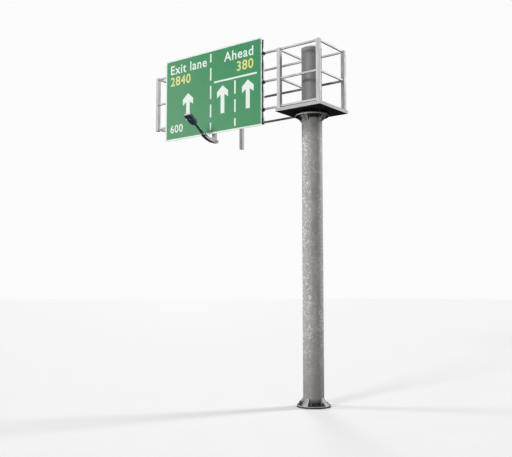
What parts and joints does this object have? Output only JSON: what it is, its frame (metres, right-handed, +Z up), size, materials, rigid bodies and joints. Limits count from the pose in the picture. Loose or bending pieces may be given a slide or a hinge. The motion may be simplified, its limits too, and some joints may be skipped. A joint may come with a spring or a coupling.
{
  "type": "cantilever overhead sign gantry",
  "caption": "Flanged tubular steel column with a head cage and a box-truss arm that holds a lit direction sign over a road.",
  "frame": {"origin": "centre of the base plate's underside, on the column's axis, at ground level", "axes": "+Z up the column; the arm reaches out along -X; the sign faces -Y"},
  "size_m": [5.52, 2.2965, 9.111],
  "materials": {
    "galvanised_column": "weathered hot-dip galvanised",
    "galvanised_plate": "hot-dip galvanised plate",
    "platform_steel": "dull galvanised plate",
    "galvanised_tube": "pale galvanised tube",
    "sign_face": "green retroreflective sheeting with white markings",
    "sign_channel": "mill aluminium",
    "dark_clamp": "black painted",
    "lamp_paint": "pale grey powder coat",
    "lamp_dark": "dark navy powder coat",
    "lamp_glass": "clear toughened glass"
  },
  "bodies": {
    "root": {"base_plate": "galvanised_plate", "cage_left_rails": "galvanised_tube", "cage_post_front_left": "galvanised_tube", "cage_post_front_right": "galvanised_tube", "cage_post_rear_left": "galvanised_tube", "cage_post_rear_right": "galvanised_tube", "cage_right_rails": "galvanised_tube", "column": "galvanised_column", "column_cap": "galvanised_plate", "column_head": "galvanised_column", "end_frame_rails": "galvanised_tube", "end_post_front": "galvanised_tube", "end_post_rear": "galvanised_tube", "foot_gussets": "galvanised_column", "front_bottom_chord": "galvanised_tube", "front_middle_chord": "galvanised_tube", "front_top_chord": "galvanised_tube", "hanger_frame_rails": "galvanised_tube", "hanger_post_front": "galvanised_tube", "hanger_post_rear": "galvanised_tube", "lamp_bracket": "galvanised_tube", "lamp_collar": "lamp_dark", "lamp_cover": "lamp_dark", "lamp_housing": "lamp_paint", "lamp_lens": "lamp_glass", "lamp_neck": "lamp_dark", "platform_bottom_plate": "platform_steel", "platform_deck": "platform_steel", "platform_edge_bars": "platform_steel", "post_caps": "galvanised_tube", "rear_bottom_chord": "galvanised_tube", "rear_middle_chord": "galvanised_tube", "rear_top_chord": "galvanised_tube", "sign_clamps": "dark_clamp", "sign_edge_uprights": "sign_channel", "sign_inner_uprights": "sign_channel", "sign_panel": "sign_face", "top_flange": "galvanised_plate", "top_gussets": "galvanised_column"}
  },
  "joints": []
}
